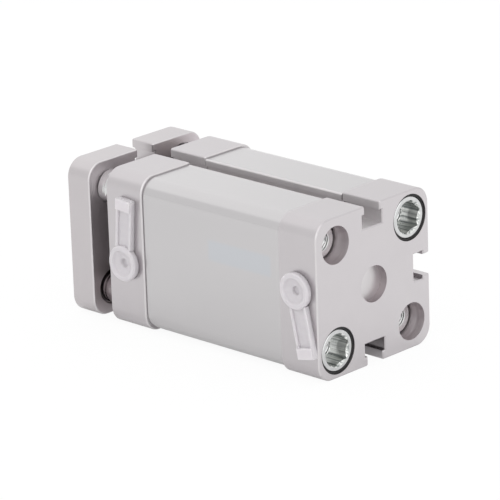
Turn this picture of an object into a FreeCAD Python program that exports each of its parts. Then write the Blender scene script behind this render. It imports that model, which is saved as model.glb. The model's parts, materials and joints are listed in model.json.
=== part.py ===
# Guided compact pneumatic cylinder: 25 mm bore, 30 mm stroke, two plain guide rods and a yoke plate.
# Row frame, in mm: X is the cylinder axis with x = 0 on the rear mounting face and +X pointing out of
# it, so the rod comes out towards -X. +Z is up. The ports are on the -Y side.
import FreeCAD, Part
import math
import os

os.makedirs("parts", exist_ok=True)
V = FreeCAD.Vector

# ---- envelope -------------------------------------------------------------------------------------
stroke = 30.0
bore_r = 12.5            # cylinder bore
cap_half = 19.75         # half the width across a cap and across the yoke plate
barrel_inset = 0.55      # the extruded barrel sits this much inside the caps all round
corner_r = 4.5           # long corners of caps, barrel and plate
cap_len = 12.0
yoke_gap = 6.0           # front cap to yoke plate, retracted
yoke_len = 7.5
edge_break = 0.3         # small bevel on the outlines of caps and plate

# ---- clearances -----------------------------------------------------------------------------------
fit_gap = 0.03           # radial gap of parts that are fixed in one another
run_gap = 0.03           # radial gap of sliding parts
end_gap = 0.3            # what is left at each end of the stroke

# ---- sensor slots ---------------------------------------------------------------------------------
slot_mouth = 5.2
slot_width = 6.9         # width under the lips
slot_lip = 2.2           # lip thickness, measured from the cap outline
slot_wall = 1.75         # wall left between a slot's floor and the bore
slot_mouth_r = 0.45

# ---- corner holes, screws and guide rods ------------------------------------------------------------
hole_pitch = 26.0        # all four corners, square
rod_r = 5.0              # piston rod
guide_r = 4.0            # guide rods
thread_r = 2.1           # core of the M5 threads
screw_shank_r = 3.4      # hollow cap screws
screw_head_r = 4.25
screw_bore_r = 4.65      # counterbore round their heads
screw_sink = 4.4         # rear screw heads lie this far below the face
screw_head_len = 3.1
rear_grip = 13.0         # screw length in the barrel, rear
front_grip = 13.0        # and front
big_shank_gap = 0.05     # large screws, on the guide rod axes, to their barrel channels
big_head_step = 0.8
big_head_len = 7.7
big_sink = 0.3
big_grip = 8.0
big_socket_af = 7.2
big_socket_len = 4.4
big_socket_mouth_r = 4.15
big_socket_turn = 17.0   # degrees, as the screws stopped when tightened
ring_wall = 0.6          # black ring round the large heads
ring_len = 1.6
guide_channel_gap = 0.4  # guide rod to barrel channel
guide_end_gap = 1.0      # guide rod to the tip of the large screw, retracted
guide_collar = 1.0       # guide rod collar that stands off the plate, before a grinding groove
guide_groove_len = 0.6
guide_groove = 0.35      # its depth
bush_wall = 1.2
bush_sunk = 0.3          # bush ends below both faces of the front cap

# ---- piston train -----------------------------------------------------------------------------------
spigot_len = 2.6         # cap spigots in the bore
oring_r = 0.4
oring_groove = 1.3
piston_len = 7.8
piston_side_gap = 0.2
buffer_proud = 0.7
buffer_sunk = 0.8
buffer_in_step = 1.4     # buffer to rod, radial
buffer_out_step = 3.3    # buffer to bore, radial
piston_seal_len = 1.5
piston_seal_depth = 2.3  # groove floors, radial from the bore
magnet_len = 2.4
magnet_depth = 2.7
rod_spigot_r = 3.0
rod_spigot_len = 3.0
piston_web = 1.8
piston_screw_head_r = 4.25
piston_screw_head_len = 2.6
piston_screw_grip = 10.0
rod_flat_cut = 0.5       # spanner flats in the gap, depth of each
rod_flat_len = 5.0

# ---- front cap bearings -----------------------------------------------------------------------------
bearing_wall = 1.0
seal_wall = 2.2          # rod to the seal's pocket, radial
seal_len = 3.4

# ---- yoke plate -------------------------------------------------------------------------------------
rod_seat = 1.3
guide_seat = 1.0
guide_relief = 0.8       # shallow ring round each guide rod where it enters the plate
guide_relief_wall = 0.5
yoke_screw_r = 3.0       # M6 in the piston rod
yoke_head_r = 5.0
yoke_head_len = 3.6
guide_screw_r = 2.5      # M5 in each guide rod
guide_head_r = 4.25
guide_head_len = 3.3
head_clear = 0.35        # counterbore to head, radial
head_sunk = 0.25         # heads below the plate's face
yoke_grip = 14.0
guide_grip = 12.0

# ---- ports and centring -----------------------------------------------------------------------------
port_z = 2.6             # off the middle: up at the rear, down at the front
port_relief_r = 2.6      # plain mouth in front of the thread, which the dust plug fills
port_relief = 1.5
duct_r = 1.2
duct_inset = 3.2         # duct axis to the bore's wall
centring_r = 4.5
centring_len = 2.1

# ---- dust plugs ---------------------------------------------------------------------------------------
plug_r = 4.5
plug_base = 0.6
plug_rim = 0.85          # rim height above the base
plug_rim_w = 1.2
plug_dimple_r = 1.2
plug_dimple = 0.9        # depth of the hollow in the middle of the dish
plug_stand = 0.3         # underside off the cap
plug_pin_len = 1.2
plug_pin_gap = 0.05
tab_w = 5.2
tab_len = 16.6           # from the middle of the disc to the tip
tab_rail_w = 0.8
tab_rail = 0.55
tab_block = 3.0
tab_block_h = 0.95
rear_tab_turn = 12.0     # degrees off vertical
front_tab_turn = 4.5

# ---- stations along the axis ----------------------------------------------------------------------------
barrel_half = cap_half - barrel_inset
barrel_len = 2 * (spigot_len + end_gap + buffer_proud) + piston_len + stroke
x_rear = 0.0
x_barrel = -cap_len
x_front_cap = x_barrel - barrel_len
x_front = x_front_cap - cap_len
x_yoke = x_front - yoke_gap
x_end = x_yoke - yoke_len
x_piston = x_barrel - spigot_len - end_gap - buffer_proud     # rear face of the piston
x_piston_front = x_piston - piston_len
slot_floor = bore_r + slot_wall
port_x = cap_len / 2
duct_y = bore_r - duct_inset
port_depth = cap_half - duct_y + duct_r + 0.05
corner = hole_pitch / 2
guide_corners = [(corner, corner), (-corner, -corner)]
screw_corners = [(-corner, corner), (corner, -corner)]
bush_r = guide_r + run_gap + bush_wall
bearing_r = rod_r + run_gap + bearing_wall
channel_guide_r = guide_r + guide_channel_gap
big_shank_r = channel_guide_r - big_shank_gap
big_head_r = big_shank_r + big_head_step
ring_r = big_head_r + ring_wall
seal_r = rod_r + seal_wall
buffer_in, buffer_out = rod_r + buffer_in_step, bore_r - buffer_out_step
piston_seal_floor_r = bore_r - piston_seal_depth
magnet_floor_r = bore_r - magnet_depth
guide_relief_r = guide_r + guide_relief_wall
bush_len = cap_len - 2 * bush_sunk


# ---- helpers ----------------------------------------------------------------------------------------
def cyl(r, xa, xb, at=(0.0, 0.0)):
    """Round bar along X between two stations."""
    lo, hi = min(xa, xb), max(xa, xb)
    return Part.makeCylinder(r, hi - lo, V(lo, at[0], at[1]), V(1, 0, 0))


def turned(profile, at=(0.0, 0.0)):
    """Solid of revolution about X from a closed list of (x, radius)."""
    pts = [V(x, 0, r) for x, r in profile]
    face = Part.Face(Part.makePolygon(pts + [pts[0]]))
    solid = face.revolve(V(0, 0, 0), V(1, 0, 0), 360)
    solid.translate(V(0, at[0], at[1]))
    return solid


def rounded_face(points, x):
    """Flat face at a station from corner points (y, z, corner radius)."""
    n = len(points)
    edges, last, first = [], None, None
    for i, (y, z, r) in enumerate(points):
        p = V(x, y, z)
        a = V(x, points[i - 1][0], points[i - 1][1]) - p
        b = V(x, points[(i + 1) % n][0], points[(i + 1) % n][1]) - p
        a.normalize()
        b.normalize()
        if r <= 0:
            start = end = p
            arc = None
        else:
            half = a.getAngle(b) / 2
            run = r / math.tan(half)
            start, end = p + a * run, p + b * run
            mid = a + b
            mid.normalize()
            centre = p + mid * (r / math.sin(half))
            arc = Part.Arc(start, centre - mid * r, end).toShape()
        if last is not None and (start - last).Length > 1e-7:
            edges.append(Part.makeLine(last, start))
        if arc is not None:
            edges.append(arc)
        if first is None:
            first = start
        last = end
    if (first - last).Length > 1e-7:
        edges.append(Part.makeLine(last, first))
    return Part.Face(Part.Wire(edges))


def outline(half, x, inset=0.0):
    """Square section with three sensor slots, the -Y side plain. inset draws the whole outline inwards."""
    d = inset
    mouth, wide = slot_mouth / 2 + d, slot_width / 2 + d
    top, lip, floor = half - d, cap_half - slot_lip + d, slot_floor - d
    out_r = slot_mouth_r - d
    side = [(-mouth, top, out_r), (-mouth, lip, 0), (-wide, lip, 0), (-wide, floor, 0),
            (wide, floor, 0), (wide, lip, 0), (mouth, lip, 0), (mouth, top, out_r)]
    c, r = half - d, corner_r - d
    points = [(-c, c, r)] + side                                       # +Z side, left to right
    points += [(c, c, r)] + [(z, -y, q) for y, z, q in side]           # +Y side, top to bottom
    points += [(c, -c, r)] + [(-y, -z, q) for y, z, q in side]         # -Z side
    points += [(-c, -c, r)]
    return rounded_face(points, x)


def slotted_block(half, xa, xb, bevel=0.0):
    """Extruded slotted square, its ends drawn in by a bevel."""
    lo, hi = min(xa, xb), max(xa, xb)
    block = outline(half, lo + bevel).extrude(V(hi - lo - 2 * bevel, 0, 0))
    if not bevel:
        return block
    ends = [Part.makeLoft([outline(half, at, bevel).OuterWire, outline(half, at + run).OuterWire], True, True)
            for at, run in ((lo, bevel), (hi, -bevel))]
    return block.fuse(ends)


def hexagon(af, xa, xb, at=(0.0, 0.0), turn=30.0):
    """Hexagonal prism along X, for sockets, its first corner turned from +Y towards +Z."""
    r = af / math.sqrt(3)
    pts = [V(min(xa, xb), at[0] + r * math.cos(math.radians(60 * i + turn)),
             at[1] + r * math.sin(math.radians(60 * i + turn))) for i in range(6)]
    return Part.Face(Part.makePolygon(pts + [pts[0]])).extrude(V(abs(xb - xa), 0, 0))


def cut_all(shape, tools):
    """Takes each tool out of the shape in one go."""
    return shape.cut(Part.Compound(tools)) if len(tools) == 1 else shape.cut(tools[0].multiFuse(tools[1:]))


def save(name, shape):
    """One STEP file for each node, from clean closed solids."""
    solids = shape.removeSplitter().Solids
    result = solids[0] if len(solids) == 1 else Part.Compound(solids)
    result.exportStep("parts/%s.step" % name)
    for s in solids:
        if not s.isValid() or s.Volume <= 0:
            raise ValueError("not a valid solid: " + name)


# ---- housing --------------------------------------------------------------------------------------------
def barrel():
    """Extruded tube with bore, three sensor slots and a channel in each corner."""
    body = slotted_block(barrel_half, x_barrel, x_front_cap)
    holes = [cyl(bore_r, x_barrel + 1, x_front_cap - 1)]
    holes += [cyl(channel_guide_r, x_barrel + 1, x_front_cap - 1, c) for c in guide_corners]
    holes += [cyl(screw_shank_r + fit_gap, x_barrel + 1, x_front_cap - 1, c) for c in screw_corners]
    return cut_all(body, holes)


def spigot(x_root, out):
    """Cap spigot with its O-ring groove. out is the direction it points along X."""
    r = bore_r - fit_gap
    g = (spigot_len - oring_groove) / 2
    floor = bore_r - 2 * oring_r - fit_gap * 2
    x = [x_root, x_root + out * g, x_root + out * (g + oring_groove), x_root + out * spigot_len]
    return turned([(x_root - out * 0.5, 0), (x_root - out * 0.5, r), (x[1], r), (x[1], floor),
                   (x[2], floor), (x[2], r), (x[3], r), (x[3], 0)])


def port_tools(x, z, x_spigot):
    """Port hole from the -Y side and the duct from it to the bore."""
    y0 = -cap_half
    core = Part.makeCylinder(thread_r, port_depth + 1, V(x, y0 - 1, z), V(0, 1, 0))
    mouth = Part.makeCylinder(port_relief_r, port_relief + 1, V(x, y0 - 1, z), V(0, 1, 0))
    duct = cyl(duct_r, x, x_spigot + math.copysign(1, x_spigot - x), (-duct_y, z))
    return [core, mouth, duct]


def rear_cap():
    """Rear cap: centring bore, corner counterbores, port and spigot."""
    x_spigot = x_barrel - spigot_len
    body = slotted_block(cap_half, x_rear, x_barrel, edge_break).fuse(spigot(x_barrel, -1))
    tools = [cyl(centring_r, 1, -centring_len)]
    for c in guide_corners:
        tools += [cyl(ring_r, 1, -ring_len, c),
                  cyl(big_head_r + 0.2, 1, -big_sink - big_head_len, c),
                  cyl(big_shank_r + 0.1, 1, x_barrel - 1, c)]
    for c in screw_corners:
        tools += [cyl(screw_bore_r, 1, -screw_sink - screw_head_len, c),
                  cyl(screw_shank_r + 0.1, 1, x_barrel - 1, c)]
    return cut_all(body, tools + port_tools(-port_x, port_z, x_spigot))


def front_cap():
    """Bearing cap: rod bearing bore, seal pocket, guide bush bores, port and spigot."""
    x_spigot = x_front_cap + spigot_len
    body = slotted_block(cap_half, x_front_cap, x_front, edge_break).fuse(spigot(x_front_cap, 1))
    tools = [cyl(bearing_r + fit_gap, x_spigot + 1, x_front - 1),
             cyl(seal_r, x_front + seal_len, x_front - 1)]
    tools += [cyl(bush_r + fit_gap, x_front_cap + 1, x_front - 1, c) for c in guide_corners]
    for c in screw_corners:
        tools += [cyl(screw_bore_r, x_front + screw_sink, x_front - 1, c),
                  cyl(screw_shank_r + 0.1, x_front_cap + 1, x_front - 1, c)]
    return cut_all(body, tools + port_tools(x_front + port_x, -port_z, x_spigot))


def oring(x_root, out):
    """O-ring in a cap spigot, its section drawn with six sides."""
    x, r = x_root + out * spigot_len / 2, bore_r - fit_gap - oring_r
    across = oring_r / math.cos(math.pi / 6)
    return turned([(x + across * math.cos(math.pi / 3 * (i + 0.5)),
                    r + oring_r * math.sin(math.pi / 3 * (i + 0.5))) for i in range(6)])


def hollow_screw(x_head, out, head_len, grip_end, at):
    """Cap screw with an M5 thread inside. out is the way its head faces along X."""
    x_under = x_head - out * head_len
    b = 0.3
    body = turned([(x_head, 0), (x_head, screw_head_r - b), (x_head - out * b, screw_head_r),
                   (x_under, screw_head_r), (x_under, screw_shank_r), (grip_end, screw_shank_r),
                   (grip_end, 0)], at)
    hole_end = x_head - out * 9.0
    hole = turned([(x_head + out, 0), (x_head + out, thread_r + 0.4), (x_head, thread_r + 0.4),
                   (x_head - out * 0.4, thread_r), (hole_end, thread_r), (hole_end, 0)], at)
    return body.cut(hole).cut(hexagon(3.0, x_head - out * 8.0, x_head - out * 11.5, at))


def rear_cap_screws():
    return Part.Compound([hollow_screw(-screw_sink, 1, screw_head_len, x_barrel - rear_grip, c)
                          for c in screw_corners])


def front_cap_screws():
    """Their long heads stand out of the front cap nearly to the yoke plate."""
    head_len = screw_sink + yoke_gap - end_gap
    return Part.Compound([hollow_screw(x_yoke + end_gap, -1, head_len, x_front_cap + front_grip, c)
                          for c in screw_corners])


def rear_guide_screws():
    """Large hollow screws on the guide rod axes: bevelled hexagon socket, then an M5 thread."""
    parts = []
    for c in guide_corners:
        face, under, tip = -big_sink, -big_sink - big_head_len, x_barrel - big_grip
        body = turned([(face, 0), (face, big_head_r - 0.25), (face - 0.25, big_head_r), (under, big_head_r),
                       (under, big_shank_r), (tip, big_shank_r), (tip, 0)], c)
        floor = face - big_socket_len
        flat = big_socket_af / 2
        cone = turned([(1, 0), (1, big_socket_mouth_r), (face, big_socket_mouth_r),
                       (face - big_socket_mouth_r + flat, flat), (face - big_socket_mouth_r + flat, 0)], c)
        hole = turned([(floor + 1, 0), (floor + 1, thread_r), (floor, thread_r + 0.4), (floor - 0.4, thread_r),
                       (tip + 2.0, thread_r), (tip + 2.0, 0)], c)
        parts.append(body.cut(cone).cut(hexagon(big_socket_af, floor, 1, c, big_socket_turn)).cut(hole))
    return Part.Compound(parts)


def rear_guide_seals():
    """Black rings round the large heads, nearly flush."""
    a, b = -0.4, -ring_len
    r0, r1 = big_head_r + fit_gap, ring_r - fit_gap
    return Part.Compound([turned([(a, r0), (a, r1), (b, r1), (b, r0)], c) for c in guide_corners])


def rod_bearing():
    """Plain bush of the piston rod."""
    a, b = x_front_cap + spigot_len - 0.4, x_front + seal_len + 0.2
    r0, r1 = rod_r + run_gap, bearing_r
    return turned([(a, r0), (a, r1), (b, r1), (b, r0)])


def rod_seal():
    """Rod seal and wiper in the front cap, with a lip each way."""
    a, b = x_front + 0.3, x_front + seal_len - 0.05
    lip, back, out = rod_r + run_gap, rod_r + 0.5, seal_r - fit_gap
    m = (a + b) / 2
    return turned([(a, lip), (a, out), (b, out), (b, lip + 1.2), (b - 0.9, lip + 0.9), (b, lip),
                   (m, back), (a + 0.7, back)])


def guide_bush(at):
    """Plain bush of one guide rod, its ends just inside both faces of the front cap."""
    a = x_front + bush_sunk
    b = a + bush_len
    r0, r1 = guide_r + run_gap, bush_r
    return turned([(a, r0), (a, r1), (b, r1), (b, r0)], at)


# ---- moving train ------------------------------------------------------------------------------------------
def piston():
    """Piston with seal and magnet grooves, buffer grooves and the screw's counterbore."""
    r = bore_r - piston_side_gap
    a, b = x_piston, x_piston_front
    mid = (a + b) / 2
    body = cyl(r, a, b)
    s0, s1 = seal_span()
    grooves = []
    for lo, hi in ((a - s0, a - s1), (b + s0, b + s1)):
        grooves.append(turned([(lo, piston_seal_floor_r), (lo, r + 1), (hi, r + 1), (hi, piston_seal_floor_r)]))
    m = magnet_len / 2
    grooves.append(turned([(mid - m, magnet_floor_r), (mid - m, r + 1), (mid + m, r + 1), (mid + m, magnet_floor_r)]))
    for face, s in ((a, -1), (b, 1)):
        grooves.append(turned([(face - s, buffer_in - fit_gap), (face - s, buffer_out + fit_gap),
                               (face + s * buffer_sunk, buffer_out + fit_gap),
                               (face + s * buffer_sunk, buffer_in - fit_gap)]))
    head = piston_len - rod_spigot_len - piston_web
    holes = [cyl(rod_spigot_r + fit_gap, b - 1, b + rod_spigot_len),
             cyl(guide_screw_r + 0.1, a + 1, b - 1), cyl(piston_screw_head_r + 0.3, a + 1, a - head)]
    return cut_all(body, grooves + holes)


def seal_span():
    """Where a piston seal groove starts and ends, counted from the nearer piston face."""
    land = (piston_len - magnet_len - 2 * piston_seal_len) / 4
    return land, land + piston_seal_len


def piston_seal(face, s):
    """Lip seal of the piston. s points from the piston's face inwards."""
    s0, s1 = seal_span()
    a, b = face + s * (s0 + 0.05), face + s * (s1 - 0.05)
    r0, r1 = piston_seal_floor_r + fit_gap, bore_r - run_gap
    return turned([(a, r0), (a + s * 0.6, (r0 + r1) / 2), (a, r1 - 0.3), (a + s * 0.5, r1),
                   (b, r1 - 0.35), (b, r0)])


def magnet_ring():
    """Ring magnet that the slot sensors read."""
    mid, m = (x_piston + x_piston_front) / 2, magnet_len / 2 - 0.04
    r0, r1 = magnet_floor_r + fit_gap, bore_r - 2 * piston_side_gap
    return turned([(mid - m, r0), (mid - m, r1), (mid + m, r1), (mid + m, r0)])


def buffer(face, s):
    """Rubber buffer ring standing out of one piston face. s points inwards."""
    out, inn = face - s * buffer_proud, face + s * (buffer_sunk - 0.02)
    return turned([(out, buffer_in + 0.4), (out, buffer_out - 0.4), (inn, buffer_out), (inn, buffer_in)])


def piston_rod():
    """Rod from the piston to the plate, with spanner flats in the gap and a thread at each end."""
    a, b = x_piston_front, x_yoke - rod_seat
    body = turned([(a + rod_spigot_len, 0), (a + rod_spigot_len, rod_spigot_r), (a, rod_spigot_r), (a, rod_r),
                   (b, rod_r), (b, 0)])
    x0 = x_yoke + 0.5
    tools = [cyl(guide_screw_r + fit_gap, a + rod_spigot_len + 1, a - piston_screw_grip),
             cyl(yoke_screw_r + fit_gap, b - 1, b + yoke_grip)]
    for side in (-1, 1):
        flat = Part.makeBox(rod_flat_len, 4 * rod_r, rod_r)
        flat.translate(V(x0, -2 * rod_r, rod_r - rod_flat_cut if side > 0 else rod_flat_cut - 2 * rod_r))
        tools.append(flat)
    return cut_all(body, tools)


def socket_screw(x_face, out, head_r, head_len, shank_r, grip, socket_af, socket_len, at):
    """Low-head socket screw. out is the way its head faces along X."""
    under = x_face - out * head_len
    tip = under - out * grip
    body = turned([(x_face, 0), (x_face, head_r - 0.35), (x_face - out * 0.35, head_r), (under, head_r),
                   (under, shank_r), (tip, shank_r), (tip, 0)], at)
    floor = x_face - out * socket_len
    return body.cut(hexagon(socket_af, floor, x_face + out, at))


def piston_screw():
    head = piston_len - rod_spigot_len - piston_web
    face = x_piston - head + piston_screw_head_len
    return socket_screw(face, 1, piston_screw_head_r, piston_screw_head_len, guide_screw_r,
                        piston_web + piston_screw_grip, 3.0, 1.6, (0.0, 0.0))


def guide_rod(at):
    """Ground guide rod, bevelled at the free end, with a grinding groove off the plate and an M5 thread."""
    a, b = x_barrel - big_grip - guide_end_gap, x_yoke - guide_relief - guide_seat
    g0, g1, g_r = x_yoke + guide_collar + guide_groove_len, x_yoke + guide_collar, guide_r - guide_groove
    body = turned([(a, 0), (a, guide_r - 0.8), (a - 0.8, guide_r), (g0, guide_r), (g0, g_r), (g1, g_r),
                   (g1, guide_r), (b, guide_r), (b, 0)], at)
    return body.cut(cyl(guide_screw_r + fit_gap, b - 1, b + guide_grip, at))


def yoke_plate():
    """Plate that ties piston rod and guide rods, with seats behind and counterbores in front."""
    body = slotted_block(cap_half, x_yoke, x_end, edge_break)
    tools = [cyl(rod_r + fit_gap, x_yoke + 1, x_yoke - rod_seat),
             cyl(yoke_screw_r + 0.25, x_yoke + 1, x_end - 1),
             cyl(yoke_head_r + head_clear, x_end - 1, x_end + yoke_head_len + head_sunk)]
    for c in guide_corners:
        tools += [cyl(guide_relief_r, x_yoke + 1, x_yoke - guide_relief, c),
                  cyl(guide_r + fit_gap, x_yoke + 1, x_yoke - guide_relief - guide_seat, c),
                  cyl(guide_screw_r + 0.25, x_yoke + 1, x_end - 1, c),
                  cyl(guide_head_r + head_clear, x_end - 1, x_end + guide_head_len + head_sunk, c)]
    tools += [cyl(thread_r, x_yoke + 1, x_end - 1, c) for c in screw_corners]
    return cut_all(body, tools)


def yoke_centre_screw():
    return socket_screw(x_end + head_sunk, -1, yoke_head_r, yoke_head_len, yoke_screw_r, yoke_grip - 1.0,
                        4.0, 2.2, (0.0, 0.0))


def yoke_guide_screws():
    return Part.Compound([socket_screw(x_end + head_sunk, -1, guide_head_r, guide_head_len, guide_screw_r,
                                       guide_grip - 1.0, 3.0, 2.0, c) for c in guide_corners])


# ---- dust plugs ------------------------------------------------------------------------------------------
def port_plug(x, z, turn):
    """Moulded plug: hollow pin, dished disc with a raised rim, railed pull tab with a thicker tip.
    Built facing -Y with the tab pointing up, then turned about the port's axis."""
    def spun(profile):
        pts = [V(r, -h, 0) for r, h in profile]        # h counts outwards from the cap
        face = Part.Face(Part.makePolygon(pts + [pts[0]]))
        return face.revolve(V(0, 0, 0), V(0, 1, 0), 360)

    pin_r, rim = port_relief_r - plug_pin_gap, plug_base + plug_rim
    disc = spun([(0, -plug_pin_len - plug_stand), (pin_r - 0.4, -plug_pin_len - plug_stand),
                 (pin_r, -plug_pin_len - plug_stand + 0.4), (pin_r, 0), (plug_r - 0.2, 0), (plug_r, 0.2),
                 (plug_r, rim - 0.35), (plug_r - 0.35, rim), (plug_r - plug_rim_w, rim),
                 (plug_r - plug_rim_w - 0.35, rim - 0.4), (plug_dimple_r + 0.3, plug_base),
                 (plug_dimple_r, plug_base - 0.1), (plug_dimple_r - 0.4, plug_base - plug_dimple),
                 (0, plug_base - plug_dimple)])

    def slab(xa, xb, za, zb, h):
        box = Part.makeBox(xb - xa, h, zb - za, V(xa, -h, za))
        up = [e for e in box.Edges if abs(e.BoundBox.YMax + h) < 1e-6]
        return box.makeFillet(min(0.25, h / 3), up)

    w, z0 = tab_w / 2, plug_r - 0.6
    tab = Part.makeBox(tab_w, plug_base, tab_len - z0, V(-w, -plug_base, z0))
    ends = [e for e in tab.Edges if abs(e.BoundBox.ZMin - tab_len) < 1e-6 and e.Length < plug_base + 0.01]
    tab = tab.makeFillet(0.6, ends) if ends else tab
    for s in (-1, 1):
        inner, outer = s * (w - tab_rail_w), s * w
        tab = tab.fuse(slab(min(inner, outer), max(inner, outer), z0, tab_len - 0.7, plug_base + tab_rail))
    tab = tab.fuse(slab(-w + 0.15, w - 0.15, tab_len - tab_block, tab_len - 0.15, plug_base + tab_block_h))
    plug = disc.fuse(tab).removeSplitter()
    plug.rotate(V(0, 0, 0), V(0, 1, 0), turn)
    plug.translate(V(x, -cap_half - plug_stand, z))
    return plug


NODES = {
    "barrel": barrel,
    "rear_cap": rear_cap,
    "front_cap": front_cap,
    "rear_cap_oring": lambda: oring(x_barrel, -1),
    "front_cap_oring": lambda: oring(x_front_cap, 1),
    "rear_cap_screws": rear_cap_screws,
    "front_cap_screws": front_cap_screws,
    "rear_guide_screws": rear_guide_screws,
    "rear_guide_seals": rear_guide_seals,
    "rod_bearing": rod_bearing,
    "rod_seal": rod_seal,
    "guide_bush_upper": lambda: guide_bush(guide_corners[0]),
    "guide_bush_lower": lambda: guide_bush(guide_corners[1]),
    "piston": piston,
    "piston_seal_rear": lambda: piston_seal(x_piston, -1),
    "piston_seal_front": lambda: piston_seal(x_piston_front, 1),
    "magnet_ring": magnet_ring,
    "buffer_rear": lambda: buffer(x_piston, -1),
    "buffer_front": lambda: buffer(x_piston_front, 1),
    "piston_rod": piston_rod,
    "piston_screw": piston_screw,
    "guide_rod_upper": lambda: guide_rod(guide_corners[0]),
    "guide_rod_lower": lambda: guide_rod(guide_corners[1]),
    "yoke_plate": yoke_plate,
    "yoke_centre_screw": yoke_centre_screw,
    "yoke_guide_screws": yoke_guide_screws,
    "rear_port_plug": lambda: port_plug(-port_x, port_z, 180 - rear_tab_turn),
    "front_port_plug": lambda: port_plug(x_front + port_x, -port_z, front_tab_turn),
}

for name, make in NODES.items():
    save(name, make())
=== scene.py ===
# Looks of a guided compact pneumatic cylinder. The cylinder's axis is X, the rod comes out towards -X, +Z is
# up and the ports are on the -Y side. The scene, its materials and its light are in metres. Sizes that pick or
# shape parts of a piece are in mm, and MM turns them to metres. A pattern's scale is in grains per metre.
import bpy
import bmesh
import json
import math
from mathutils import Matrix, Vector

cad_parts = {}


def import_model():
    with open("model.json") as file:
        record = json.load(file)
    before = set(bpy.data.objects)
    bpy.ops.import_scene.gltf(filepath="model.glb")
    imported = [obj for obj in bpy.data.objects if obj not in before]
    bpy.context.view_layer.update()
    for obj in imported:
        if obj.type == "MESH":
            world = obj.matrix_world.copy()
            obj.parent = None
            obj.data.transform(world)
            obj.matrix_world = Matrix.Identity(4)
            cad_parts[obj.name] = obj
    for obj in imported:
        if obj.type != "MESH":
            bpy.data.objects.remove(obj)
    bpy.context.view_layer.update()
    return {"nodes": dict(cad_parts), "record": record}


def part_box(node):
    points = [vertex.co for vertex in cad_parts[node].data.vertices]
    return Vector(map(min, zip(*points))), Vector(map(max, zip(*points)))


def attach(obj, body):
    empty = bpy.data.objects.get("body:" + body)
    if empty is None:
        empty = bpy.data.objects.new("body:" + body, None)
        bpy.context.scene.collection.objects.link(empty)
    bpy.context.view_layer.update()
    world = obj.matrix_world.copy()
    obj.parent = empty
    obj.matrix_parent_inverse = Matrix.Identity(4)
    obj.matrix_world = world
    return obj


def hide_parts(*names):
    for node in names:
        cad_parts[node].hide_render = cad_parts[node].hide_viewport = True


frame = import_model()

# ---- sizes, in mm --------------------------------------------------------------------------------------------
MM = 0.001
CORE, ROOT, PITCH = 2.1, 2.5, 0.8                # M5 internal thread: core and root radius, and pitch
THREAD_ROOM = 0.06                               # from a thread's root to the wall of its widened hole
rod_low, rod_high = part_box("guide_rod_upper")
HALF_PITCH = (rod_low[1] + rod_high[1]) / 2 / MM # corner holes sit this far from both middle planes
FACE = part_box("rear_cap")[0][1] / MM             # Y of the port faces
SCREW_HOLES = ((-HALF_PITCH, HALF_PITCH), (HALF_PITCH, -HALF_PITCH))
GUIDE_HOLES = ((HALF_PITCH, HALF_PITCH), (-HALF_PITCH, -HALF_PITCH))
PORTS = {mount["name"]: (mount["pos_m"][0] / MM, mount["pos_m"][2] / MM)
         for mount in frame["record"]["mounts"] if mount["name"].endswith("_port")}


# ---- small helpers ----------------------------------------------------------------------------------------
def hexed(code):
    """Linear colour of an sRGB hex code."""
    out = []
    for i in (1, 3, 5):
        c = int(code[i:i + 2], 16) / 255
        out.append(c / 12.92 if c <= 0.04045 else ((c + 0.055) / 1.055) ** 2.4)
    return (*out, 1.0)


def add(tree, kind, values=None, links=None, **settings):
    """Adds a node, with its socket values, links and settings."""
    node = tree.nodes.new(kind)
    for key, value in settings.items():
        setattr(node, key, value)
    for key, value in (values or {}).items():
        node.inputs[key].default_value = value
    for key, source in (links or {}).items():
        tree.links.new(source, node.inputs[key])
    return node


def start_material(name):
    """An empty node material and its tree."""
    material = bpy.data.materials.new(name)
    material.use_nodes = True
    material.node_tree.nodes.clear()
    return material, material.node_tree


def finish_material(tree, values, links):
    """Closes a material with the surface shader and its output."""
    shader = add(tree, "ShaderNodeBsdfPrincipled", values, links)
    add(tree, "ShaderNodeOutputMaterial", links={"Surface": shader.outputs[0]})


def stretched(tree, per_metre):
    """Object coordinates scaled so that one unit is one grain of the pattern along each axis."""
    coords = add(tree, "ShaderNodeTexCoord")
    return add(tree, "ShaderNodeMapping", {"Scale": per_metre}, {"Vector": coords.outputs["Object"]})


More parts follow.
